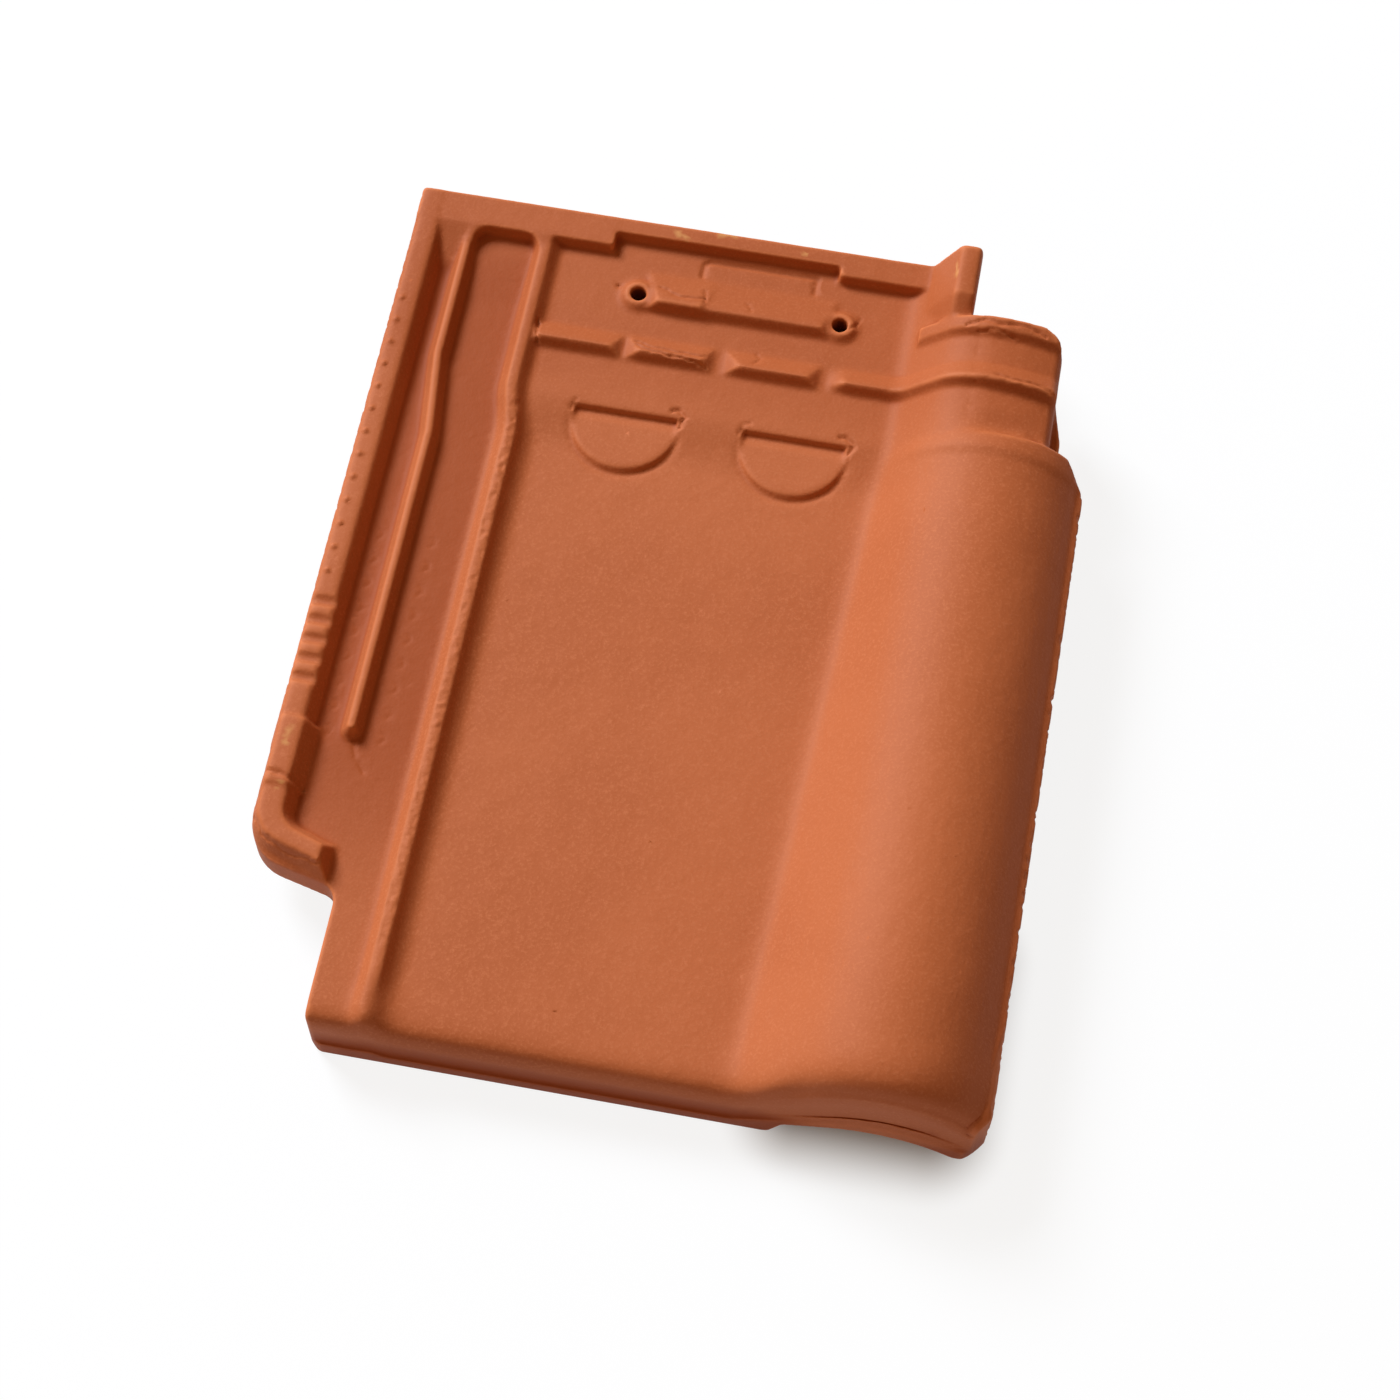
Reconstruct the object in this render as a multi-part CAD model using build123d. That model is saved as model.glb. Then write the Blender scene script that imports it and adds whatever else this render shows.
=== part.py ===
from build123d import *
import math
import os

# Pressed clay roof tile: flat pan, side lock on the left, hollow roll on the right.
# Lengths in mm from the left edge (x), the front lip (y) and the floor (z); centred at the end.

# Overall sizes
tile_width = 275.0
tile_length = 350.0
overrun = 60.0

# Heights of the upper face
channel_z = 26.5
pan_z = 25.0
head_z = 29.0
ridge_z = 31.0
bead_z = 34.0
rim_z = 33.7

# Heights of the lower face
under_z = 14.0
head_under_z = 17.0

# Side lock, from the left edge
bead_flat_x = 9.6
bead_foot_x = 13.6
ridge_foot_x = 51.0
ridge_near_x = 54.6
ridge_far_x = 58.4
pan_foot_x = 63.0
head_foot_x = 59.0
head_ridge_shift = 3.4
head_ridge_rise = 2.0
bead_round = 3.0
foot_round = 2.5
pan_foot_round = 9.0
head_foot_round = 2.0
ridge_round = 1.6

# Roll over the field, from the right edge: corners of the section and their radii
roll_width = 78.0
roll_front_width = 89.5
roll_front_fall = 4.0
roll_apex_share = 0.433
roll_rise_share = 0.65
ledge_width = 2.4
ledge_z = 34.0
valley_round_share = 0.051
crest_round_share = 0.5257
ledge_round = 1.2
flap_z = 30.0
valley_x = tile_width - roll_width
valley_front_x = tile_width - roll_front_width
apex_x = tile_width - roll_width * roll_apex_share
roll_apex_z = pan_z + roll_width * roll_rise_share
valley_round = roll_width * valley_round_share
crest_round = roll_width * crest_round_share
ledge_x = tile_width - ledge_width
pan_width = valley_x - pan_foot_x

# Roll at the head, lower and narrower so that the next tile covers it
neck_inset_share = 0.2
neck_valley_share = 0.032
neck_corner_share = 0.3075
neck_rise = 20.5
neck_fall = 4.5
neck_round_share = 0.299
neck_valley_round = 10.0
neck_edge_round = 5.0
neck_flap_z = 23.0
neck_edge_x = tile_width - roll_width * neck_inset_share
neck_valley_x = valley_x + roll_width * neck_valley_share
neck_corner_x = valley_x + roll_width * neck_corner_share
neck_corner_z = head_z + neck_rise
neck_edge_z = neck_corner_z - neck_fall
neck_round = roll_width * neck_round_share

# Hollow under the roll
hollow_valley_shift = 1.8
hollow_rise_share = 0.5643
flap_width = 11.0
hollow_valley_round_share = 0.2556
hollow_round_share = 0.3195
hollow_lip_round = 2.0
neck_wall = 10.0
neck_hollow_shift_share = 0.0618
neck_hollow_round_share = 0.1958
hollow_apex_z = under_z + roll_width * hollow_rise_share
hollow_round = roll_width * hollow_round_share
hollow_valley_round = roll_width * hollow_valley_round_share
hollow_valley_x = valley_x + hollow_valley_shift
hollow_foot_x = tile_width - flap_width
neck_hollow_x = neck_corner_x + roll_width * neck_hollow_shift_share
neck_hollow_round = roll_width * neck_hollow_round_share
neck_hollow_foot_x = neck_edge_x - neck_wall

# Distances from the head edge
neck_length = 82.0
shoulder_drop = 8.0
neck_lead = 7.0
roll_cut_length = 31.3
neck_y = tile_length - neck_length
roll_end_y = tile_length - roll_cut_length

# Slope from the head zone down to the pan, and the roll's shoulder, before the neck
slope_lengths = (22.0, 18.0, 14.0, 10.0, 8.0, 6.0, 4.0, 2.0, 0.0)
slope_rise_shares = (0.0, 0.1, 0.3, 0.55, 0.68, 0.8, 0.9, 0.97, 1.0)
shoulder_drop_shares = (0.0, 0.0, 0.0, 0.0, 0.02, 0.2, 0.46, 0.73, 1.0)
slope_y = neck_y - slope_lengths[0]

# Nose: blunt quarter curves down to the front lip
lip_depth = 3.4
nose_run = 18.0
pan_nose_run = 14.0
nose_power = 4
nose_pan_drop = 17.5
nose_apex_drop = 42.5
nose_ledge_drop = 22.0
nose_ridge_share = 0.92
nose_step_shares = (1.0, 0.75, 0.55, 0.4, 0.28, 0.18, 0.1, 0.045, 0.012, 0.0)
lip_pan_drop = 18.5
lip_apex_drop = 44.0
lip_ledge_drop = 23.5
hollow_nose_depths = (34.0, 24.0, 17.0, 12.5)
hollow_pan_drops = (0.0, 1.5, 6.5, 13.9)
hollow_apex_drops = (0.0, 3.0, 10.0, 24.0)
hollow_flap_drops = (0.0, 2.5, 8.0, 17.0)
arch_left_share = 0.031
arch_rise = 9.5
arch_run = 5.0
arch_apex_z = 21.0
arch_tip_z = 6.0
arch_round_share = 0.618
arch_corner_round = 2.0

# Rib between the lock channels
rib_height = 5.8
rib_foot_width = 8.6
rib_crest_width = 2.6
rib_x = 26.7
rib_jog = 4.3
rib_tip_y = 113.0
rib_jog_back = 110.0
rib_jog_length = 35.0
rib_round = 1.1
rib_jog_y = tile_length - rib_jog_back
rib_head_y = rib_jog_y + rib_jog_length

# Head rim: depth of its inner edge below the head edge, and run of its slanted face
rim_lock_depth = 14.0
rim_corner_round = 7.0
rim_corner_low_round = 3.0
rim_corner_z = 32.2
rim_left_depth = 13.8
rim_mid_depth = 7.0
rim_right_depth = 11.5
rim_run = 1.6
rim_jog_share = 0.125
rim_back_share = 0.79
rim_overlap = 2.0
channel_ramp_length = 20.0
wide_ramp_length = 30.0
wide_ramp_rise = 1.8

# Fin at the head: cut end of the roll
fin_end_share = 0.6667
fin_foot_share = 0.0833
fin_top_share = 0.2256
fin_foot_z = 32.0
fin_z = 51.0
fin_round = 3.0
fin_lead = 9.0
fin_sink = 9.0
fin_end_x = tile_width - roll_width * fin_end_share
fin_foot_x = valley_x + roll_width * fin_foot_share
fin_top_x = valley_x + roll_width * fin_top_share

# Raised bars across the head, from the head edge, and along the pan's width
bar_front_back = 62.9
bar_run = 2.6
bar_crest_width = 1.2
bar_slope_length = 8.0
bar_height = 3.8
bar_left_run = 6.0
bar_right_run = 5.0
bar_start_shares = (-0.08, 0.216, 0.5075)
bar_end_shares = (0.216, 0.481, 0.791)
bar_last_share = 0.813
roll_rim_length = 8.2
roll_rim_run = 2.5
roll_rim_height = 3.0
bar_front_y = tile_length - bar_front_back
bar_top_y = bar_front_y + bar_run
bar_back_y = bar_top_y + bar_crest_width + bar_slope_length
bar_last_x = pan_foot_x + pan_width * bar_last_share
roll_rim_y = roll_end_y - roll_rim_length
roll_rim_top_y = roll_rim_y + roll_rim_run

# Nail holes, their bosses and the rib between them
hole_radius = 3.1
hole_back = 32.9
hole_left_share = 0.22463
hole_spacing_share = 0.59403
boss_radius = 7.8
boss_top_radius = 5.0
boss_height = 2.4
nail_rib_front_back = 39.6
nail_rib_run = 2.8
nail_rib_slope_length = 15.0
nail_rib_height = 3.8
nail_rib_gap = 2.0
lump_length = 28.0
lump_rise = 1.2
hole_y = tile_length - hole_back
hole_left_x = pan_foot_x + pan_width * hole_left_share
hole_right_x = hole_left_x + pan_width * hole_spacing_share

# Half round lugs below the head zone
lug_left_share = 0.2668
lug_spacing_share = 0.4869
lug_half_width_share = 0.162
lug_depth = 25.5
lug_height = 1.9
lug_run = 1.6
lug_back = 3.5

# Plan outline
flange_low_y = 55.0
flange_slope = 5.0
flange_corner = 17.0
notch_x = 35.3
notch_y = 51.5
notch_round = 7.0
lip_left_x = 39.5
lip_left_y = 7.0
chamfer_x = 8.0
chamfer_y = 12.0
roll_end_round = 10.5
shoulder_round = 12.0
shoulder_front = 11.0
neck_foot_width = 4.2
neck_foot_round = 4.0
neck_foot_lengths = (30.0, 12.0, 5.0)
neck_foot_drop = 3.0

# Block, stop bar and grip grooves on the left bead
block_start_y = 85.0
block_end_y = 111.5
block_inset = 1.0
block_rise = 1.0
block_flat_x = 10.0
block_foot_x = 16.0
block_round = 2.0
stop_bar_inset = 3.5
stop_bar_x = 32.0
stop_bar_side = -2.0
stop_bar_width = 14.5
stop_bar_inner_x = 14.6
stop_bar_turn_round = 6.0
stop_bar_round = 2.0
stop_bar_slant = 28.0
groove_first_y = 128.0
groove_pitch = 8.0
groove_count = 5
groove_radius = 2.6
groove_depth = 1.6

# Hanging nibs under the head
nib_length = 14.0
nib_back = 20.0
nib_run = 1.5
nib_sink = 2.0
nib_left_share = 0.023
nib_spacing_share = 0.7067
nib_width_share = 0.228
nib_front_y = tile_length - nib_back


def rounded_wire(points, y):
    """Closed wire in the plane of station y, from corners (x, z, radius)."""
    count = len(points)
    ends = []
    for i in range(count):
        here = Vector(points[i][0], y, points[i][1])
        back = Vector(points[i - 1][0], y, points[i - 1][1])
        ahead = Vector(points[(i + 1) % count][0], y, points[(i + 1) % count][1])
        radius = points[i][2]
        into = (back - here).normalized()
        out = (ahead - here).normalized()
        half = math.acos(into.dot(out)) / 2
        if radius == 0:
            ends.append((here, None, here))
            continue
        reach = radius / math.tan(half)
        middle = here + (into + out).normalized() * (radius / math.sin(half) - radius)
        ends.append((here + into * reach, middle, here + out * reach))
    edges = []
    for i in range(count):
        start, middle, finish = ends[i]
        if middle is not None:
            edges.append(Edge.make_three_point_arc(start, middle, finish))
        edges.append(Edge.make_line(finish, ends[(i + 1) % count][0]))
    return Wire(edges)


def prism(points, start, end):
    """Section carried straight along the tile."""
    return extrude(Face(rounded_wire(points, start)), end - start, dir=(0, 1, 0))


def blend(sections, ruled=True):
    """Solid through sections given as (corners, station)."""
    return Solid.make_loft([rounded_wire(points, y) for points, y in sections], ruled)


def slab(x0, x1, y0, y1, z):
    """Level rectangle."""
    return Wire.make_polygon([(x0, y0, z), (x1, y0, z), (x1, y1, z), (x0, y1, z)])


def between(start, end, share):
    """Value a share of the way from start to end."""
    return start + (end - start) * share


def top_field(drop=0.0, apex_drop=0.0, ledge_drop=0.0, ridge_share=0.0, rise_share=0.0, front_share=0.0):
    """Everything below the upper face of the field."""
    ridge = ridge_z + head_ridge_rise * rise_share - drop - (ridge_z - channel_z) * ridge_share
    shift = head_ridge_shift * rise_share
    foot_x = between(pan_foot_x, head_foot_x, rise_share)
    floor = between(pan_z, head_z, rise_share) - drop
    wall_round = between(pan_foot_round, head_foot_round, rise_share)
    turn_x = between(valley_x, neck_valley_x, rise_share)
    turn_x = between(turn_x, valley_front_x, front_share)
    turn_round = between(valley_round, neck_valley_round, rise_share)
    apex = roll_apex_z - roll_front_fall * front_share - apex_drop
    return [
        (0.0, -overrun, 0.0),
        (0.0, bead_z - drop, bead_round),
        (bead_flat_x, bead_z - drop, bead_round),
        (bead_foot_x, channel_z - drop, foot_round),
        (ridge_foot_x - shift, channel_z - drop, foot_round),
        (ridge_near_x - shift, ridge, ridge_round),
        (ridge_far_x - shift, ridge, ridge_round),
        (foot_x, floor, wall_round),
        (turn_x, floor, turn_round),
        (apex_x, apex, crest_round),
        (ledge_x, ledge_z - ledge_drop, ledge_round),
        (tile_width + overrun, ledge_z - ledge_drop, 0.0),
        (tile_width + overrun, -overrun, 0.0),
    ]


def top_head():
    """Everything below the upper face of the head zone."""
    return [
        (0.0, -overrun, 0.0),
        (0.0, bead_z, bead_round),
        (bead_flat_x, bead_z, bead_round),
        (bead_foot_x, channel_z, foot_round),
        (ridge_foot_x - head_ridge_shift, channel_z, foot_round),
        (ridge_near_x - head_ridge_shift, ridge_z + head_ridge_rise, ridge_round),
        (ridge_far_x - head_ridge_shift, ridge_z + head_ridge_rise, ridge_round),
        (head_foot_x, head_z, head_foot_round),
        (neck_valley_x, head_z, neck_valley_round),
        (neck_corner_x, neck_corner_z, neck_round),
        (neck_edge_x, neck_edge_z, neck_edge_round),
        (neck_edge_x, -overrun, 0.0),
    ]


def roll_bar(rise):
    """Section of the last bar, carried up over the neck."""
    return [
        (bar_last_x, -overrun, 0.0),
        (bar_last_x, head_z, 0.0),
        (bar_last_x + bar_left_run, head_z + rise, 0.0),
        (neck_valley_x, head_z + rise, neck_valley_round),
        (neck_corner_x, neck_corner_z + rise, neck_round),
        (neck_edge_x, neck_edge_z + rise, neck_edge_round),
        (neck_edge_x, -overrun, 0.0),
    ]


def hollow_field(drop=0.0, apex_drop=0.0, flap_drop=0.0, front_share=1.0):
    """Everything below the lower face of the field."""
    turn_x = between(valley_x, valley_front_x, front_share) + hollow_valley_shift
    return [
        (-overrun, -overrun, 0.0),
        (-overrun, under_z - drop, 0.0),
        (turn_x, under_z - drop, hollow_valley_round),
        (apex_x, hollow_apex_z - apex_drop, hollow_round),
        (hollow_foot_x, flap_z - flap_drop, hollow_lip_round),
        (tile_width + overrun, flap_z - flap_drop, 0.0),
        (tile_width + overrun, -overrun, 0.0),
    ]


def hollow_head():
    """Everything below the lower face of the head zone."""
    return [
        (-overrun, -overrun, 0.0),
        (-overrun, head_under_z, 0.0),
        (hollow_valley_x, head_under_z, hollow_valley_round),
        (neck_hollow_x, neck_corner_z - neck_wall, neck_hollow_round),
        (neck_hollow_foot_x, neck_edge_z - neck_wall, hollow_lip_round),
        (neck_hollow_foot_x, neck_flap_z, hollow_lip_round),
        (tile_width + overrun, neck_flap_z, 0.0),
        (tile_width + overrun, -overrun, 0.0),
    ]


def lip_arch():
    """Everything below the front lip, with the low arch under the roll."""
    left = valley_x + roll_width * arch_left_share
    return [
        (-overrun, -overrun, 0.0),
        (-overrun, 0.0, 0.0),
        (left, 0.0, arch_corner_round),
        (left + arch_run, arch_rise, arch_corner_round),
        (apex_x, arch_apex_z, roll_width * arch_round_share),
        (hollow_foot_x, arch_tip_z, arch_corner_round),
        (tile_width + overrun, arch_tip_z, 0.0),
        (tile_width + overrun, -overrun, 0.0),
    ]


def nose_drop(depth, run, drop):
    """Drop of the blunt curve at a distance behind the lip."""
    share = max(0.0, 1 - depth / run)
    return drop * (1 - (1 - share ** nose_power) ** (1 / nose_power))


def nose_section(depth):
    """Section of the nose at a distance behind the lip."""
    ridge = nose_drop(depth, nose_run, nose_ridge_share)
    pan = nose_drop(depth, pan_nose_run, nose_pan_drop)
    apex = nose_drop(depth, nose_run, nose_apex_drop)
    ledge = nose_drop(depth, nose_run, nose_ledge_drop)
    return top_field(pan, apex, ledge, ridge, 0.0, 1.0), lip_depth + depth


def upper_form():
    """Solid under the upper face, from the front lip to the head."""
    shares = zip(slope_lengths, slope_rise_shares, shoulder_drop_shares)
    slope = [(top_field(0.0, shoulder_drop * fall, 0.0, 0.0, rise), neck_y - y) for y, rise, fall in shares]
    lip = top_field(lip_pan_drop, lip_apex_drop, lip_ledge_drop, nose_ridge_share, 0.0, 1.0)
    form = blend([nose_section(nose_run), (top_field(), slope_y)])
    form += blend(slope)
    form += prism(top_head(), neck_y, tile_length)
    form += prism(neck_start(), neck_y - neck_lead, neck_y)
    form += blend([nose_section(nose_run * share) for share in nose_step_shares])
    form += prism(lip, -overrun, lip_depth)
    form += shoulder_ledge()
    return form


def shoulder_ledge():
    """Ledge that runs out along the neck's side behind the shoulder."""
    low = slab(neck_corner_x, tile_width + overrun, slope_y, neck_y + neck_foot_lengths[0], under_z)
    return extrude(Face(low), ledge_z - neck_foot_drop - under_z, dir=(0, 0, 1))


def neck_start():
    """Neck section alone, run a little way into the roll of the field."""
    return [
        (neck_corner_x, -overrun, 0.0),
        (neck_corner_x, neck_edge_z, 0.0),
        (neck_corner_x + neck_round / 2, neck_edge_z + neck_fall / 2, neck_edge_round),
        (neck_edge_x, neck_edge_z, neck_edge_round),
        (neck_edge_x, -overrun, 0.0),
    ]


def lower_form():
    """Solid under the lower face, taken away from the upper form."""
    drops = zip(hollow_nose_depths, hollow_pan_drops, hollow_apex_drops, hollow_flap_drops)
    step_y = neck_y - neck_lead
    form = blend([(hollow_field(), hollow_nose_depths[0]), (hollow_field(0.0, 0.0, 0.0, 0.0), step_y)])
    form += prism(hollow_head(), step_y, tile_length + overrun)
    form += blend([(hollow_field(*drop), y) for y, *drop in drops])
    form += prism(lip_arch(), -overrun, hollow_nose_depths[-1])
    return form


def plan_face(corners):
    """Level face from corners (x, y, radius)."""
    face = make_face(Polyline([(x, y) for x, y, radius in corners], close=True))
    for x, y, radius in corners:
        if radius > 0:
            near = sorted(face.vertices(), key=lambda v: (Vector(v) - Vector(x, y, 0)).length)
            face = fillet(near[0], radius)
    return face


def outline():
    """Plan of the trimmed tile as a tall prism."""
    face = plan_face([
        (0.0, tile_length, 0.0),
        (fin_end_x, tile_length, 0.0),
        (fin_end_x, roll_end_y, 0.0),
        (neck_edge_x, roll_end_y, roll_end_round),
        (neck_edge_x, neck_y + neck_foot_lengths[0], 0.0),
        (neck_edge_x + neck_foot_width, neck_y + neck_foot_lengths[1], neck_foot_round),
        (neck_edge_x + neck_foot_width, neck_y + neck_foot_lengths[2], 0.0),
        (tile_width, neck_y - shoulder_front, shoulder_round),
        (tile_width, chamfer_y, 0.0),
        (tile_width - chamfer_x, 0.0, 0.0),
        (lip_left_x, 0.0, 0.0),
        (notch_x, lip_left_y, 0.0),
        (notch_x, notch_y, notch_round),
        (0.0, flange_low_y + flange_slope, flange_corner),
    ])
    return extrude(face, overrun, dir=(0, 0, 1), both=True)


def rib_section(x, y):
    """Cross-section of the channel rib, sunk into the floor below it."""
    sink = rib_height / 2
    slope = (rib_foot_width - rib_crest_width) / 2 / rib_height
    low = rib_foot_width / 2 + slope * sink
    crest = rib_crest_width / 2
    points = [
        (x - low, channel_z - sink, 0.0),
        (x - crest, channel_z + rib_height, rib_round),
        (x + crest, channel_z + rib_height, rib_round),
        (x + low, channel_z - sink, 0.0),
    ]
    return points, low


def rib():
    """Rib between the lock channels, with its sideways jog and round tip."""
    low_part, low = rib_section(rib_x, rib_tip_y)
    high_part, low = rib_section(rib_x - rib_jog, rib_head_y)
    base = channel_z - rib_height / 2
    middle = (Align.CENTER, Align.CENTER, Align.MIN)
    made = prism(low_part, rib_tip_y, rib_jog_y)
    made += blend([(low_part, rib_jog_y), (high_part, rib_head_y)])
    made += prism(high_part, rib_head_y, tile_length - rim_mid_depth)
    made += Pos(rib_x, rib_tip_y, base) * Cone(low, rib_crest_width / 2, rib_height * 3 / 2, align=middle)
    return made


def rim_piece(x0, x1, depth, foot_z):
    """Length of head rim with a slanted inner face."""
    y = tile_length - depth
    points = [
        (x0, y - rim_run, foot_z),
        (x0, y, rim_z),
        (x0, tile_length, rim_z),
        (x0, tile_length, under_z),
        (x0, y - rim_run, under_z),
    ]
    return extrude(make_face(Polyline(points, close=True)), x1 - x0, dir=(1, 0, 0))


def lock_rim():
    """Rim over the wide channel, falling to the rib at its front."""
    start = rib_x - rib_jog
    front = tile_length - rim_lock_depth - rim_corner_round
    points = [
        (start, front, rim_corner_z),
        (start, tile_length - rim_lock_depth, rim_z),
        (start, tile_length, rim_z),
        (start, tile_length, under_z),
        (start, front, under_z),
    ]
    width = ridge_far_x - head_ridge_shift - start
    return extrude(make_face(Polyline(points, close=True)), width, dir=(1, 0, 0))


def channel_end():
    """Cutter for the rounded head end of the wide channel."""
    start = tile_length - rim_lock_depth - wide_ramp_length
    end = tile_length - rim_lock_depth
    rib_side = rib_x - rib_jog
    low = plan_face([
        (rib_side + rib_foot_width / 2, start, 0.0),
        (rib_side + rib_foot_width / 2, end - rim_run, rim_corner_low_round),
        (ridge_foot_x - head_ridge_shift, end - rim_run, rim_corner_low_round),
        (ridge_foot_x - head_ridge_shift, start, 0.0),
    ])
    high = plan_face([
        (rib_side + rib_crest_width / 2, start, 0.0),
        (rib_side + rib_crest_width / 2, end, rim_corner_round),
        (ridge_near_x - head_ridge_shift, end, rim_corner_round),
        (ridge_near_x - head_ridge_shift, start, 0.0),
    ])
    low_wire = (Pos(0, 0, channel_z) * low).face().outer_wire()
    high_wire = (Pos(0, 0, rim_z) * high).face().outer_wire()
    made = Solid.make_loft([low_wire, high_wire], True)
    return made + extrude(Face(high_wire), overrun, dir=(0, 0, 1))


def wide_ramp():
    """Ramp at the head end of the wide channel."""
    points = [
        (rib_x, tile_length - rim_lock_depth - wide_ramp_length, channel_z),
        (rib_x, tile_length - rim_lock_depth, channel_z + wide_ramp_rise),
        (rib_x, tile_length - rim_lock_depth, under_z),
        (rib_x, tile_length - rim_lock_depth - wide_ramp_length, under_z),
    ]
    return extrude(make_face(Polyline(points, close=True)), ridge_foot_x - rib_x, dir=(1, 0, 0))


def head_rim():
    """Raised rim along the head edge, stepped back behind the nail holes."""
    jog = pan_foot_x + pan_width * rim_jog_share
    back = pan_foot_x + pan_width * rim_back_share
    made = lock_rim() - channel_end()
    made += rim_piece(0.0, rib_x - rib_jog, rim_lock_depth, channel_z)
    made += rim_piece(ridge_near_x - head_ridge_shift, jog, rim_left_depth, head_z)
    made += rim_piece(jog - rim_overlap, back + rim_overlap, rim_mid_depth, head_z)
    made += rim_piece(back, fin_foot_x + rim_overlap, rim_right_depth, head_z)
    ramp_y = tile_length - rim_lock_depth - channel_ramp_length
    points = [
        (bead_flat_x, ramp_y, channel_z),
        (bead_flat_x, tile_length - rim_lock_depth, rim_z),
        (bead_flat_x, tile_length, rim_z),
        (bead_flat_x, tile_length, under_z),
        (bead_flat_x, ramp_y, under_z),
    ]
    width = rib_x - rib_jog - bead_flat_x
    made += extrude(make_face(Polyline(points, close=True)), width, dir=(1, 0, 0))
    return made + wide_ramp()


def fin_section(sink):
    """Section of the fin, lowered by sink."""
    return [
        (fin_foot_x, -overrun, 0.0),
        (fin_foot_x, fin_foot_z - sink, 0.0),
        (fin_top_x, fin_z - sink, fin_round),
        (fin_end_x, fin_z - sink, fin_round),
        (fin_end_x, -overrun, 0.0),
    ]


def fin():
    """Upstanding end of the roll beside the head cut, growing out of the roll's end."""
    start = (fin_section(fin_sink), roll_end_y - fin_lead)
    made = blend([start, (fin_section(0.0), roll_end_y + fin_lead)])
    made += prism(fin_section(0.0), roll_end_y + fin_lead, tile_length)
    return made


def wedge(x0, x1, y, height, run, slope_length):
    """Raised bar with a steep front face, a long back slope and slanted ends."""
    top = y + run
    back = top + bar_crest_width + slope_length
    low = slab(x0, x1, y, back, head_z)
    high = slab(x0 + bar_left_run, x1 - bar_right_run, top, top + bar_crest_width, head_z + height)
    made = Solid.make_loft([low, high], True)
    made += extrude(Face(low), head_z - under_z, dir=(0, 0, -1))
    return made


def bars():
    """Bars across the head zone, the last one carried over the neck, and the roll's end rim."""
    crest_y = bar_top_y + bar_crest_width
    made = Part()
    for first, last in zip(bar_start_shares, bar_end_shares):
        start = pan_foot_x + pan_width * first
        end = pan_foot_x + pan_width * last
        made += wedge(start, end, bar_front_y, bar_height, bar_run, bar_slope_length)
    made += blend([
        (roll_bar(0.0), bar_front_y),
        (roll_bar(bar_height), bar_top_y),
        (roll_bar(bar_height), crest_y),
        (roll_bar(0.0), bar_back_y),
    ])
    end = blend([(roll_bar(0.0), roll_rim_y), (roll_bar(roll_rim_height), roll_rim_top_y)])
    end += prism(roll_bar(roll_rim_height), roll_rim_top_y, roll_end_y)
    low = slab(fin_foot_x, tile_width, roll_rim_y, roll_end_y, -overrun)
    keep = extrude(Face(low), overrun * 2, dir=(0, 0, 1))
    made += end & keep
    return made


def nail_seats():
    """Bosses round the nail holes and the rib between them."""
    start = hole_left_x + nail_rib_gap
    end = hole_right_x - nail_rib_gap
    front = tile_length - nail_rib_front_back
    middle = (Align.CENTER, Align.CENTER, Align.MIN)
    made = wedge(start, end, front, nail_rib_height, nail_rib_run, nail_rib_slope_length)
    lump = nail_rib_height + lump_rise
    made += wedge(start, start + lump_length, front, lump, nail_rib_run, nail_rib_slope_length)
    for x in (hole_left_x, hole_right_x):
        made += Pos(x, hole_y, head_z) * Cone(boss_radius, boss_top_radius, boss_height, align=middle)
        made += Pos(x, hole_y, under_z) * Cylinder(boss_radius, head_z - under_z, align=middle)
    return made


def nail_holes():
    """Cutters for the two nail holes."""
    cut = Part()
    for x in (hole_left_x, hole_right_x):
        cut += Pos(x, hole_y, 0) * Cylinder(hole_radius, 2 * overrun)
    return cut


def half_round(x, y, half_width, depth, z):
    """Level half round wire with its straight side towards the head."""
    left = (x - half_width, y, z)
    right = (x + half_width, y, z)
    low = (x, y - depth, z)
    return Wire([Edge.make_three_point_arc(left, low, right), Edge.make_line(right, left)])


def lug_places():
    """Middle of each lug along the pan."""
    first = pan_foot_x + pan_width * lug_left_share
    return (first, first + pan_width * lug_spacing_share)


def lugs():
    """Two low half round lugs with slanted sides."""
    half = pan_width * lug_half_width_share
    made = Part()
    for x in lug_places():
        low = half_round(x, neck_y - lug_back, half, lug_depth, pan_z)
        high = half_round(x, neck_y - lug_back, half - lug_run, lug_depth - lug_run, pan_z + lug_height)
        made += Solid.make_loft([low, high], True)
        made += extrude(Face(low), pan_z - under_z, dir=(0, 0, -1))
    return made


def lug_pockets():
    """Cutters that level the slope to the head zone above each lug."""
    half = pan_width * lug_half_width_share
    cut = Part()
    for x in lug_places():
        low = half_round(x, neck_y - lug_back, half - lug_run, lug_depth - lug_run, pan_z + lug_height)
        cut += extrude(Face(low), overrun, dir=(0, 0, 1))
    return cut


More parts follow.
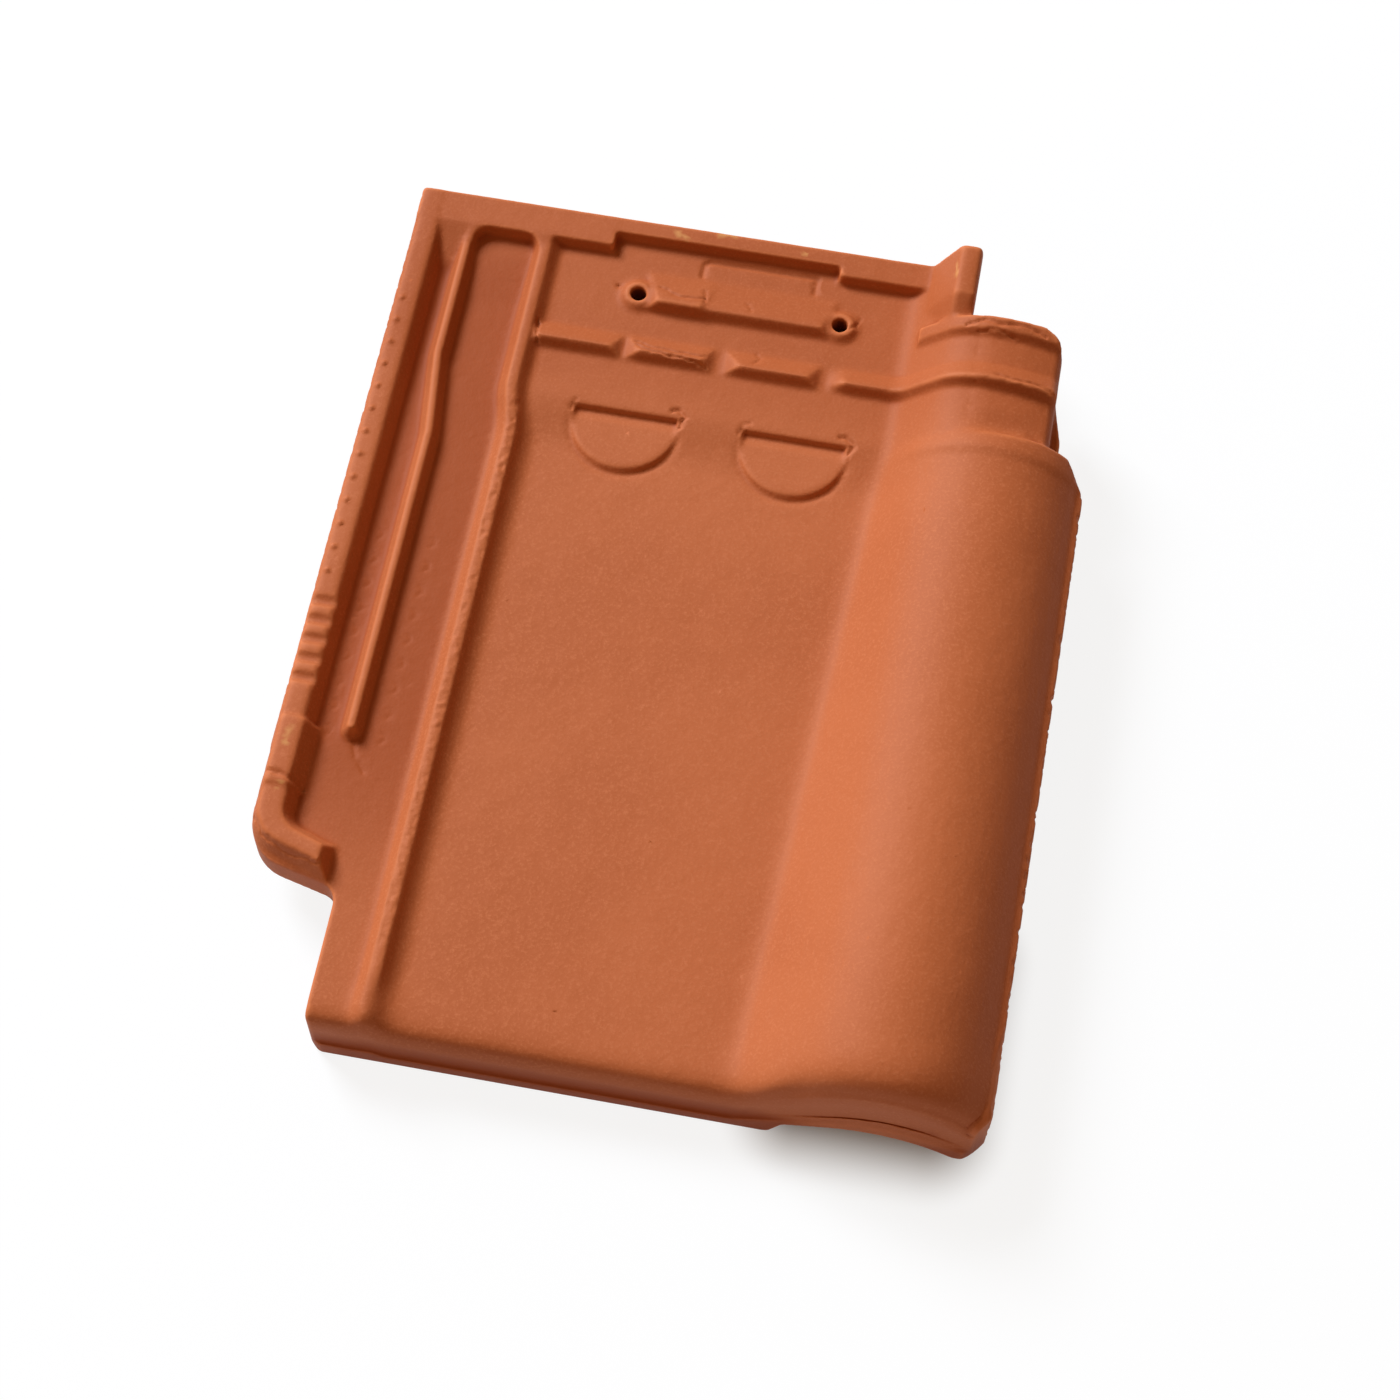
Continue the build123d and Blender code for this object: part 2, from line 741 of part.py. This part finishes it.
def bead_details():
    """Block on the bead and the stop bar round the flange's lower corner."""
    top = flange_low_y + flange_slope + stop_bar_inset
    slope = (top - notch_y) / notch_x
    face = plan_face([
        (stop_bar_side, block_end_y, 0.0),
        (stop_bar_side, top, flange_corner),
        (stop_bar_x, top - slope * stop_bar_x, 0.0),
        (stop_bar_x, top - slope * stop_bar_x + stop_bar_width, 0.0),
        (stop_bar_inner_x, top - slope * stop_bar_inner_x + stop_bar_width, stop_bar_turn_round),
        (stop_bar_inner_x, block_end_y, 0.0),
    ])
    bar = Pos(0, 0, channel_z) * extrude(face, bead_z - channel_z, dir=(0, 0, 1), taper=stop_bar_slant)
    bar = fillet(bar.faces().sort_by(Axis.Z)[-1].edges(), stop_bar_round)
    bar += Pos(0, 0, under_z) * extrude(face, channel_z - under_z, dir=(0, 0, 1))
    points = [
        (block_inset, under_z, 0.0),
        (block_inset, bead_z + block_rise, block_round),
        (block_flat_x, bead_z + block_rise, block_round),
        (block_foot_x, channel_z, 0.0),
        (block_foot_x, under_z, 0.0),
    ]
    return bar + prism(points, block_start_y, block_end_y)


def bead_end():
    """Cutter that ends the straight bead under the block."""
    middle = (block_start_y + block_end_y) / 2
    low = slab(-overrun, bead_foot_x + foot_round, 0.0, middle, channel_z)
    return extrude(Face(low), overrun, dir=(0, 0, 1))


def grip_grooves():
    """Cutters for the grip grooves across the bead."""
    cut = Part()
    for i in range(groove_count):
        place = Pos(0, groove_first_y + i * groove_pitch, bead_z + groove_radius - groove_depth)
        cut += place * Rot(0, 90, 0) * Cylinder(groove_radius, 2 * bead_foot_x)
    return cut


def nibs():
    """Two hanging nibs under the head, down to the floor."""
    width = pan_width * nib_width_share
    made = Part()
    for i in range(2):
        x = pan_foot_x + pan_width * (nib_left_share + i * nib_spacing_share)
        points = [
            (x + nib_run, 0.0, 0.0),
            (x, head_under_z + nib_sink, 0.0),
            (x + width, head_under_z + nib_sink, 0.0),
            (x + width - nib_run, 0.0, 0.0),
        ]
        made += prism(points, nib_front_y, nib_front_y + nib_length)
    return made


body = upper_form()
body -= lug_pockets()
body += lugs()
body += rib()
body += head_rim()
body += fin()
body += bars()
body += nail_seats()
body -= bead_end()
body += bead_details()
body -= grip_grooves()
body -= lower_form()
body &= outline()
body += nibs()
body -= nail_holes()
body = Pos(-tile_width / 2, -tile_length / 2, 0) * body

os.makedirs("parts", exist_ok=True)
export_step(body, "parts/roof_tile.step")
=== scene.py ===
import bmesh
import bpy
import numpy as np
from mathutils import Matrix, Vector


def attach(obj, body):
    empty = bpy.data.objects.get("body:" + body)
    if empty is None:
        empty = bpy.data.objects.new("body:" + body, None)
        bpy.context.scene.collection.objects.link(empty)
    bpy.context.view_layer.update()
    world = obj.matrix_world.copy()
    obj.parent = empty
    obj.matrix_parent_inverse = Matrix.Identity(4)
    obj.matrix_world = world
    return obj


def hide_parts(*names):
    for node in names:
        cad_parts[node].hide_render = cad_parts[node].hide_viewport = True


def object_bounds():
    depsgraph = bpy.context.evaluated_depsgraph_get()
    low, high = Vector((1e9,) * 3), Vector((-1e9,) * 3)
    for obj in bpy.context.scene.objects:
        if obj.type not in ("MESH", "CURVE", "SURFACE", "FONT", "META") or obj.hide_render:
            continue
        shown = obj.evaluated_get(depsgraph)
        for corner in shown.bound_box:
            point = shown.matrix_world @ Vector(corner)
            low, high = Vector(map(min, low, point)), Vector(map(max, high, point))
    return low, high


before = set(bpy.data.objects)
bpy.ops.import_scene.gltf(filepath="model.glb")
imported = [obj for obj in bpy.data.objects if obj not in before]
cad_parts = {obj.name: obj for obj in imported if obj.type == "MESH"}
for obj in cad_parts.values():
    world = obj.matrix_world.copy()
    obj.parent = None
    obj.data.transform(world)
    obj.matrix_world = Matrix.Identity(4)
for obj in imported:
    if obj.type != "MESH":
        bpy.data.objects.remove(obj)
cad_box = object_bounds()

# The clay tile: the CAD solid with pressed, softly rounded edges and fired clay relief.
# Lengths in millimetres in the tile's own plan:
# x from the left edge, y from the front lip, z from the floor.
MM = 0.001
HALF_WIDTH = 137.5
HALF_LENGTH = 175.0
VOXEL = 0.8
TRIANGLES = 190000

# Rounds of smoothing for all edges and for single areas
EDGE_ROUNDS = 5
NOSE_ROUNDS = 90
ROLL_NOSE_ROUNDS = 420
FOOT_ROUNDS = 60
NECK_ROUNDS = 80

# Nail holes, half round lugs, and the roll's left foot as y and x
HOLES = (93.1, 172.7)
HOLE_Y = 317.1
LUG_MIDDLES = (98.75, 164.0)
LUG_Y = 264.5
LUG_HALF = 21.7
LUG_DEPTH = 25.5
FOOT_Y = (0.0, 40.0, 100.0, 180.0, 250.0, 300.0)
FOOT_X = (185.0, 187.0, 190.0, 194.0, 196.0, 196.0)

# Front edge drawn forward, and the narrow roll's back rounded up
NOSE_SHIFT = 4.0
NOSE_RUN = 14.0
CROWN_X = 241.0
CROWN_HALF = 14.0
CROWN_RISE = 1.3

# Pimples along the bead and pairs of half rings in the channels
PIMPLE_X = 3.6
PIMPLE_Y = 172.5
PIMPLE_PITCH = 10.3
PIMPLES = 13
RING_MIDDLES = (17.0, 37.0)
RING_Y = 112.0
RING_PITCH = 10.4
RING_RADIUS = 2.0
RINGS = 9
CHIP = (84.6, 320.4)

# Cracks in the upper face: depth, width and corners in plan
CRACKS = (
    (0.9, 1.3, ((2.0, 88.5), (8.0, 88.0), (15.0, 86.5))),
    (0.8, 0.9, ((221.0, 313.5), (228.0, 316.5), (234.6, 314.9), (242.1, 316.3), (252.0, 314.0))),
    (0.5, 0.7, ((226.0, 312.0), (233.0, 312.6), (240.0, 311.5))),
    (0.6, 0.8, ((236.0, 291.5), (241.6, 290.9), (250.0, 291.2), (258.1, 289.9))),
    (0.9, 0.8, ((57.0, 297.5), (58.2, 292.0), (58.9, 288.4))),
    (0.7, 0.7, ((96.3, 293.2), (104.0, 290.5), (115.0, 290.0), (125.0, 288.6))),
    (0.6, 0.7, ((96.5, 295.5), (103.0, 293.0), (113.0, 292.6), (124.0, 292.2))),
    (0.5, 0.7, ((142.5, 292.5), (145.0, 296.5), (143.5, 299.0))),
    (0.6, 0.8, ((101.2, 321.2), (105.0, 318.8), (110.3, 317.4), (118.8, 318.3))),
    (0.6, 0.8, ((118.6, 323.0), (119.4, 316.8))),
    (0.5, 0.8, ((136.0, 319.6), (137.5, 317.0))),
    (0.9, 1.0, ((119.8, 261.5), (121.2, 266.0), (118.5, 268.6), (115.5, 268.0))),
    (0.9, 1.0, ((185.0, 261.5), (186.4, 265.5), (183.2, 268.4), (181.0, 268.0))),
    (0.5, 0.8, ((77.0, 262.0), (78.2, 266.5))),
    (0.5, 0.8, ((142.4, 262.5), (143.6, 266.8), (146.5, 268.0))),
    (0.7, 0.8, ((1.5, 71.0), (6.5, 65.0), (12.0, 61.5), (20.0, 59.5), (28.0, 57.5))),
    (0.4, 1.0, ((28.0, 108.5), (30.0, 103.0), (34.0, 98.0))),
    (0.5, 0.8, ((180.0, 322.5), (179.0, 318.5), (176.5, 315.5))),
)
# Pale flecks of dust in the clay: half width, plan corners
FLECKS = (
    (1.5, ((104.2, 345.5), (106.6, 344.4))),
    (0.9, ((153.6, 345.2), (154.6, 345.2))),
    (1.0, ((5.4, 100.0), (6.4, 106.5))),
    (0.7, ((214.0, 336.0), (213.4, 342.0))),
    (0.8, ((120.0, 348.6), (125.0, 348.8))),
    (0.6, ((15.0, 137.2), (15.4, 137.4))),
    (0.5, ((22.5, 79.0), (23.0, 79.2))),
    (0.8, ((7.0, 82.0), (8.5, 85.0))),
)
# Blank plate outline at the head
PLATE = ((116.0, 331.0), (116.0, 336.5), (118.0, 338.3), (160.5, 338.3), (160.5, 331.0))
# Plan boxes from the tile's middle, well under it, where the floor stays dark, and one in the roll's mouth
FOOTPRINTS = (
    ((-72.0, -148.0), (108.0, 66.0)),
    ((-112.0, -88.0), (62.0, 148.0)),
    ((-112.0, -88.0), (94.0, 116.0)),
)
MOUTH = ((72.0, -163.0), (116.0, -100.0))
FOOTPRINT_RUN = 0.028
MOUTH_RUN = 0.032


# Shader maths

class Socket:
    """A node's output that takes part in Python sums."""

    def __init__(self, finish, out):
        self.finish = finish
        self.out = out

    def maths(self, operation, *others):
        return self.finish.node("Math", {"operation": operation}, self, *others)

    def __add__(self, other):
        return self.maths("ADD", other)

    def __mul__(self, other):
        return self.maths("MULTIPLY", other)

    def __rsub__(self, other):
        return self.finish.node("Math", {"operation": "SUBTRACT"}, other, self)

    __radd__ = __add__
    __rmul__ = __mul__


class Finish:
    """A material under construction."""

    def __init__(self, name):
        self.material = bpy.data.materials.new(name)
        self.material.use_nodes = True
        self.tree = self.material.node_tree
        self.tree.nodes.clear()

    def node(self, kind, settings, *inputs, out=0, **named):
        made = self.tree.nodes.new("ShaderNode" + kind)
        for key, value in settings.items():
            setattr(made, key, value)
        self.fill(made, enumerate(inputs))
        self.fill(made, ((key.replace("_", " "), value) for key, value in named.items()))
        return Socket(self, made.outputs[out]) if len(made.outputs) else None

    def fill(self, made, sockets):
        """Values or links into a node's inputs."""
        for key, value in sockets:
            if isinstance(value, Socket):
                self.tree.links.new(value.out, made.inputs[key])
            else:
                made.inputs[key].default_value = value

    def step(self, value, low, high):
        """0 below low, 1 above high, smooth between."""
        return self.node("MapRange", {"interpolation_type": "SMOOTHSTEP"}, value, low, high, 0.0, 1.0)

    def mix(self, share, a, b):
        made = self.tree.nodes.new("ShaderNodeMix")
        made.data_type = "RGBA"
        self.fill(made, ((0, share), (6, a), (7, b)))
        return Socket(self, made.outputs[2])

    def attribute(self, name):
        return self.node("Attribute", {"attribute_name": name}, out=2)

    def noise(self, place, scale, detail=2.0, rough=0.5):
        return self.node("TexNoise", {}, Vector=place, Scale=scale, Detail=detail, Roughness=rough)


def colour(r, g, b):
    return (r, g, b, 1.0)


# The tile's mesh

def read(mesh):
    """Vertex places in plan millimetres."""
    places = np.empty(len(mesh.vertices) * 3, np.float32)
    mesh.vertices.foreach_get("co", places)
    return places.reshape(-1, 3).astype(np.float64) / MM + (HALF_WIDTH, HALF_LENGTH, 0.0)


def write(mesh, places):
    back = (places - (HALF_WIDTH, HALF_LENGTH, 0.0)) * MM
    mesh.vertices.foreach_set("co", back.astype(np.float32).ravel())
    mesh.update()


def pairs(mesh):
    edges = np.empty(len(mesh.edges) * 2, np.int32)
    mesh.edges.foreach_get("vertices", edges)
    return edges.reshape(-1, 2)


def around(values, edges):
    """Mean of each vertex's neighbours."""
    count = np.bincount(edges.ravel(), minlength=len(values))
    total = np.empty_like(values)
    for k in range(values.shape[1]):
        total[:, k] = np.bincount(edges[:, 0], values[edges[:, 1], k], len(values))
        total[:, k] += np.bincount(edges[:, 1], values[edges[:, 0], k], len(values))
    return total / np.maximum(count, 1)[:, None]


def soften(places, edges, rounds):
    """Laplacian rounding of all edges."""
    for turn in range(rounds):
        places = (places + around(places, edges)) / 2
    return places


def ease(places, edges, share, rounds):
    """Rounding of one area, by each vertex's share."""
    inside = share > 0.0
    names = np.cumsum(inside) - 1
    near = names[edges[inside[edges].all(1)]]
    soft = places.copy()
    soft[inside] = soften(places[inside], near, rounds)
    return places + (soft - places) * share[:, None]


def grain(count, edges, rounds, seed):
    """Seeded random relief over the mesh, wider with more rounds, from about -2 to 2."""
    values = np.random.default_rng(seed).standard_normal((count, 1))
    for turn in range(rounds):
        values = (values + around(values, edges)) / 2
    return (values / values.std())[:, 0]


def fade(values, low, high):
    """0 at low, 1 at high, smooth between."""
    share = np.clip((values - low) / (high - low), 0.0, 1.0)
    return share * share * (3 - 2 * share)


def strip(places, line):
    """Plan distance from each place to a line of corners."""
    nearest = np.full(len(places), 1e9)
    for (x0, y0), (x1, y1) in zip(line, line[1:]):
        run = np.array((x1 - x0, y1 - y0))
        from_start = places[:, :2] - (x0, y0)
        share = np.clip(from_start @ run / (run @ run), 0.0, 1.0)
        nearest = np.minimum(nearest, np.hypot(*(from_start - share[:, None] * run).T))
    return nearest


def evaluated(piece):
    """The piece's mesh with its modifiers applied."""
    graph = bpy.context.evaluated_depsgraph_get()
    return bpy.data.meshes.new_from_object(piece.evaluated_get(graph))


def apply(piece):
    mesh = evaluated(piece)
    piece.modifiers.clear()
    piece.data = mesh
    return mesh


def facings(mesh):
    """Vertex normals."""
    facing = np.empty(len(mesh.vertices) * 3, np.float32)
    mesh.vertex_normals.foreach_get("vector", facing)
    return facing.reshape(-1, 3).astype(np.float64)


def groove(places, line, width):
    """1 along a line of corners, 0 at its width and beyond."""
    return 1 - fade(strip(places, line), width * 0.25, width)


def relief(mesh, places, edges):
    """Pressed and torn detail of the upper face, as a lift for each vertex."""
    x, y, z = places.T
    upper = fade(facings(mesh)[:, 2], 0.1, 0.5) * fade(z, 14.0, 20.0)
    count = len(places)
    torn = grain(count, edges, 3, 3)
    lift = 0.025 * grain(count, edges, 1, 1) + 0.03 * grain(count, edges, 60, 2)

    # Moat below each half round lug, and the drop along its straight edge
    for middle in LUG_MIDDLES:
        out = np.hypot(x - middle, (y - LUG_Y) * LUG_HALF / LUG_DEPTH) - LUG_HALF
        ring = fade(out, -0.6, 0.2) * (1 - fade(out, 0.6, 3.2)) * (1 - fade(y, LUG_Y - 10.0, LUG_Y - 3.0))
        lift -= 0.45 * ring * (y < LUG_Y)
        lift -= 0.7 * fade(y, LUG_Y - 6.0, LUG_Y - 1.5) * (1 - fade(out, -3.0, -0.8)) * (y < LUG_Y)

    # Drag cracks where the clay tore in the mould, with wavering edges
    wander = places.copy()
    wander[:, :2] += 0.25 * np.stack((grain(count, edges, 5, 4), grain(count, edges, 5, 5)), 1)
    for depth, width, line in CRACKS:
        lift -= depth * groove(wander, line, width)
    lift -= 0.7 * groove(places, PLATE, 1.6)

    # Vent pimples on the bead, roller marks in the channels, a chip by the left hole
    for place in range(PIMPLES):
        away = np.hypot(x - PIMPLE_X, y - PIMPLE_Y - PIMPLE_PITCH * place)
        lift += 0.8 * (1 - fade(away, 0.4, 1.5))
    for place in range(RINGS):
        for middle in RING_MIDDLES:
            ring = np.abs(np.hypot(x - middle, y - RING_Y - RING_PITCH * place) - RING_RADIUS)
            lift -= 0.2 * (1 - fade(ring, 0.2, 0.8)) * (x > middle)
    lift -= 0.8 * (1 - fade(np.hypot(x - CHIP[0], y - CHIP[1]), 0.4, 1.5))

    # Torn edge along the ridge, and shallow dip before the roll's shoulder
    tear = fade(x, 54.6, 55.4) * (1 - fade(x, 57.5, 58.6)) * (1 - fade(y, 258, 266)) * fade(y, 12, 40)
    lift += tear * (0.16 * torn - 0.1)
    lift -= 0.7 * fade(y, 222, 252) * (1 - fade(y, 256, 261)) * fade(x, 200, 216)

    # Rounded back of the narrow roll
    crown = np.clip(1 - ((x - CROWN_X) / CROWN_HALF) ** 2, 0.0, 1.0)
    lift += CROWN_RISE * crown * fade(y, 268.0, 280.0) * (1 - fade(y, 328.0, 332.0))
    places[:, 2] += lift * upper

    # Trimmed flange edge on the left and pressed edge on the right
    places[:, 0] += np.maximum(torn, 0) * 0.22 * (1 - fade(x, 0.4, 2.0))
    places[:, 0] -= np.maximum(torn, 0) * 0.35 * fade(x, 273.4, 274.8)
    return places


def folds(mesh, places, edges):
    """Above 0 on rounded edges and below 0 in creases."""
    into = places - around(places, edges)
    values = (into * facings(mesh)).sum(1)[:, None]
    for turn in range(2):
        values = (values + around(values, edges)) / 2
    return values[:, 0]


def flecks(places, edges):
    """1 on pale flecks, 0 elsewhere."""
    torn = grain(len(places), edges, 2, 6)
    share = np.zeros(len(places))
    for width, line in FLECKS:
        away = strip(places, line) + 0.35 * width * torn
        share = np.maximum(share, 1 - fade(away, width * 0.4, width))
    return share * fade(places[:, 2], 20.0, 24.0)


def attribute(mesh, name, values):
    mesh.attributes.new(name, "FLOAT", "POINT").data.foreach_set("value", values.astype(np.float32))


def rounded(mesh, places, edges):
    """Nose, roll's foot and neck rounder than the solid's, and the front edge drawn forward."""
    x, y, z = places.T
    upper = fade(facings(mesh)[:, 2], 0.0, 0.3)
    nose = (1 - fade(y, 14.0, 27.0)) * fade(z, 10.0, 18.0) * fade(x, 40.0, 60.0)
    roll_nose = (1 - fade(y, 24.0, 44.0)) * fade(z, 15.0, 26.0) * fade(x, 194.0, 210.0)
    crease = 1 - fade(np.abs(x - np.interp(y, FOOT_Y, FOOT_X)), 5.0, 14.0)
    crease = crease * (1 - fade(y, 256.0, 268.0)) * fade(z, 20.0, 23.0)
    neck = fade(y, 265.0, 269.0) * (1 - fade(y, 281.0, 285.0))
    neck = neck + fade(y, 299.0, 301.0) * (1 - fade(y, 305.0, 308.0))
    neck = neck * fade(x, 206.0, 214.0) * (1 - fade(x, 249.0, 254.0))
    places = ease(places, edges, nose * upper, NOSE_ROUNDS)
    places = ease(places, edges, roll_nose * upper, ROLL_NOSE_ROUNDS)
    places = ease(places, edges, crease * upper, FOOT_ROUNDS)
    places = ease(places, edges, neck * upper, NECK_ROUNDS)
    run = places[:, 1] / NOSE_RUN
    places[:, 1] -= NOSE_SHIFT * run * np.exp(1 - run) * (1 - fade(places[:, 1], 30.0, 48.0))
    return places


def tones(mesh, places, edges):
    """Attributes for the finish: painted highlight on rounded edges and painted shade in creases, pale
    flecks, painted shade on the lock's channel floors, the nose's bottom, the lip and the head end, and
    painted shade in the nail holes' bores.
    """
    x, y, z = places.T
    # Painted highlight on rounded edges and painted shade in creases, from the fold measure
    attribute(mesh, "edge_highlight_crease_shade", folds(mesh, places, edges))
    attribute(mesh, "fleck", flecks(places, edges))
    # Painted shade: the channel floors in the bead's and ridge's shade, the nose's bottom and lip (partly
    # dirt too), and the head end
    channel_shade = fade(facings(mesh)[:, 2], 0.5, 0.9) * (1 - fade(z, 27.0, 29.5)) * (1 - fade(x, 48.0, 51.0))
    channel_shade *= fade(y, 20.0, 120.0) * fade(z, 20.0, 24.0) * 0.85
    lip = (1 - fade(z, 11.0, 18.0)) * (1 - fade(y, 5.0, 9.0))
    head = 0.33 * fade(y, 255.0, 285.0)
    attribute(mesh, "painted_shade", np.maximum(np.maximum(channel_shade, lip), head))
    # Painted shade in the nail holes' bores
    away = np.minimum(*(np.hypot(x - across, y - HOLE_Y) for across in HOLES))
    attribute(mesh, "painted_bore_shade", (1 - fade(away, 3.0, 3.6)) * (1 - fade(z, 28.5, 30.5)))


def clay_tile():
    """The pressed tile as one closed mesh."""
    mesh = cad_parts["roof_tile"].data.copy()
    shape = bmesh.new()
    shape.from_mesh(mesh)
    bmesh.ops.remove_doubles(shape, verts=shape.verts, dist=0.002 * MM)
    shape.to_mesh(mesh)
    shape.free()
    mesh.materials.clear()
    piece = bpy.data.objects.new("clay_tile", mesh)
    bpy.context.scene.collection.objects.link(piece)
    voxels = piece.modifiers.new("voxels", "REMESH")
    voxels.mode = "VOXEL"
    voxels.voxel_size = VOXEL * MM
    mesh = apply(piece)
    places = read(mesh)
    edges = pairs(mesh)
    places = soften(places, edges, EDGE_ROUNDS)
    write(mesh, places)
    places = rounded(mesh, places, edges)
    write(mesh, places)
    tones(mesh, places, edges)
    places = relief(mesh, places, edges)
    write(mesh, places)
    thin = piece.modifiers.new("thin", "DECIMATE")
    thin.ratio = TRIANGLES / (2 * len(mesh.polygons))
    mesh = apply(piece)
    low, high = np.array(cad_box) / MM + (HALF_WIDTH, HALF_LENGTH, 0.0)
    write(mesh, np.clip(read(mesh), low, high))
    mesh.shade_smooth()
    return piece


# Finishes

def terracotta():
    """Matte fired clay with a fine sandy grain, with painted shade in channels, creases, lip, head end and
    nail holes, and a painted highlight on rounded edges.
    """
    clay = Finish("terracotta")
    place = clay.node("TexCoord", {}, out=3)
    cloud = clay.noise(place, 14.0, 3.0)
    sand = clay.noise(place, 900.0, 3.0, 0.65)
    tone = clay.mix(clay.step(cloud, 0.35, 0.65), colour(0.483, 0.135, 0.046), colour(0.523, 0.152, 0.054))
    tone = clay.mix(clay.step(sand, 0.45, 0.75), tone, colour(0.565, 0.18, 0.073))
    # Painted shade: darker tone on the channel floors, the nose's bottom and lip, and the head end
    painted_shade = clay.attribute("painted_shade")
    tone = clay.mix(painted_shade, tone, colour(0.36, 0.075, 0.015))
    # Painted highlight on rounded edges and painted shade in creases
    edge_highlight_crease_shade = clay.attribute("edge_highlight_crease_shade")
    tone = clay.mix(clay.step(edge_highlight_crease_shade, 0.01, 0.07), tone, colour(0.64, 0.20, 0.075))
    tone = clay.mix(clay.step(0.0 - edge_highlight_crease_shade, 0.01, 0.08), tone, colour(0.36, 0.075, 0.02))
    # Painted shade in the nail holes' bores
    painted_bore_shade = clay.attribute("painted_bore_shade")
    tone = clay.mix(painted_bore_shade * 0.85, tone, colour(0.06, 0.012, 0.005))
    fleck = clay.attribute("fleck")
    tone = clay.mix(fleck * 0.7, tone, colour(0.70, 0.36, 0.13))
    rough = 0.55 + sand * 0.12
    bump = clay.node("Bump", {}, Strength=0.25, Distance=0.0004, Height=sand)
    shader = clay.node(
        "BsdfPrincipled", {}, Base_Color=tone, Roughness=rough, Normal=bump, Specular_IOR_Level=0.22
    )
    clay.node("OutputMaterial", {}, shader)
    return clay.material


def white_floor():
    """White to the camera apart from the tile's shadow, and plain matte to the light."""
    pale = Finish("white_floor")
    ray = pale.node("LightPath", {}, out=0)
    gloss = pale.node("LightPath", {}, out=3)
    seen = pale.node("Math", {"operation": "MAXIMUM"}, ray, gloss)
    matte = pale.node("BsdfDiffuse", {}, colour(0.66, 0.74, 0.84))
    glow = pale.node("Emission", {}, colour(1, 1, 1), 1.09)
    place = pale.node("TexCoord", {}, out=3)
    clear = 1.0
    for (low, high), run in [(box, FOOTPRINT_RUN) for box in FOOTPRINTS] + [(MOUTH, MOUTH_RUN)]:
        middle = [(a + b) / 2 * MM for a, b in zip(low, high)]
        half = [(b - a) / 2 * MM for a, b in zip(low, high)]
        aside = pale.node("VectorMath", {"operation": "SUBTRACT"}, place, (*middle, 0.0))
        aside = pale.node("VectorMath", {"operation": "ABSOLUTE"}, aside)
        aside = pale.node("VectorMath", {"operation": "SUBTRACT"}, aside, (*half, 0.0))
        aside = pale.node("VectorMath", {"operation": "MAXIMUM"}, aside, (0.0, 0.0, 0.0))
        away = pale.node("VectorMath", {"operation": "LENGTH"}, aside, out=1)
        clear = pale.node("Math", {"operation": "MINIMUM"}, pale.step(away, 0.0, run), clear)
    both = pale.node("MixShader", {}, seen * clear * 0.8, matte, glow)
    pale.node("OutputMaterial", {}, both)
    return pale.material


# Stage: floor, light and camera

def floor():
    mesh = bpy.data.meshes.new("floor")
    shape = bmesh.new()
    bmesh.ops.create_grid(shape, x_segments=1, y_segments=1, size=6.0)
    shape.to_mesh(mesh)
    shape.free()
    mesh.materials.append(white_floor())
    piece = bpy.data.objects.new("floor", mesh)
    bpy.context.scene.collection.objects.link(piece)


def lamp(name, place, size, power, tint=(1.0, 1.0, 1.0), aim=(0.0, 0.0, 0.02)):
    data = bpy.data.lights.new(name, "AREA")
    data.shape = "SQUARE"
    data.size = size
    data.energy = power
    data.color = tint
    piece = bpy.data.objects.new(name, data)
    piece.location = place
    piece.rotation_euler = (Vector(aim) - Vector(place)).to_track_quat("-Z", "Y").to_euler()
    bpy.context.scene.collection.objects.link(piece)


def sky():
    world = bpy.data.worlds.new("studio")
    bpy.context.scene.world = world
    world.use_nodes = True
    tree = world.node_tree
    shade = tree.nodes["Background"]
    ray = tree.nodes.new("ShaderNodeLightPath")
    level = tree.nodes.new("ShaderNodeMix")
    level.data_type = "RGBA"
    level.inputs[6].default_value = colour(0.255, 0.15, 0.072)
    level.inputs[7].default_value = colour(1, 1, 1)
    tree.links.new(ray.outputs[0], level.inputs[0])
    tree.links.new(level.outputs[2], shade.inputs[0])


def camera():
    data = bpy.data.cameras.new("camera")
    data.sensor_width = 36.0
    data.lens = 36.0 * 2992.5 / 1400
    piece = bpy.data.objects.new("camera", data)
    right = Vector((0.98367, 0.17967, 0.01048))
    up = Vector((-0.16484, 0.87606, 0.45315))
    back = Vector((0.07224, -0.44748, 0.89137))
    turn = Matrix((right, up, back)).transposed().to_4x4()
    piece.matrix_world = Matrix.Translation((0.08964, -0.5149, 0.99986)) @ turn
    bpy.context.scene.collection.objects.link(piece)
    bpy.context.scene.camera = piece


bpy.context.scene.view_settings.view_transform = "Standard"
camera()
floor()
sky()
lamp("key", (-5.6, 4.9, 5.8), 3.4, 1040.0)
lamp("front", (-1.2, -1.8, 0.7), 1.2, 2.8, (1.0, 0.62, 0.34))

tile = clay_tile()
tile.data.materials.append(terracotta())
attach(tile, "root")
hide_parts("roof_tile")
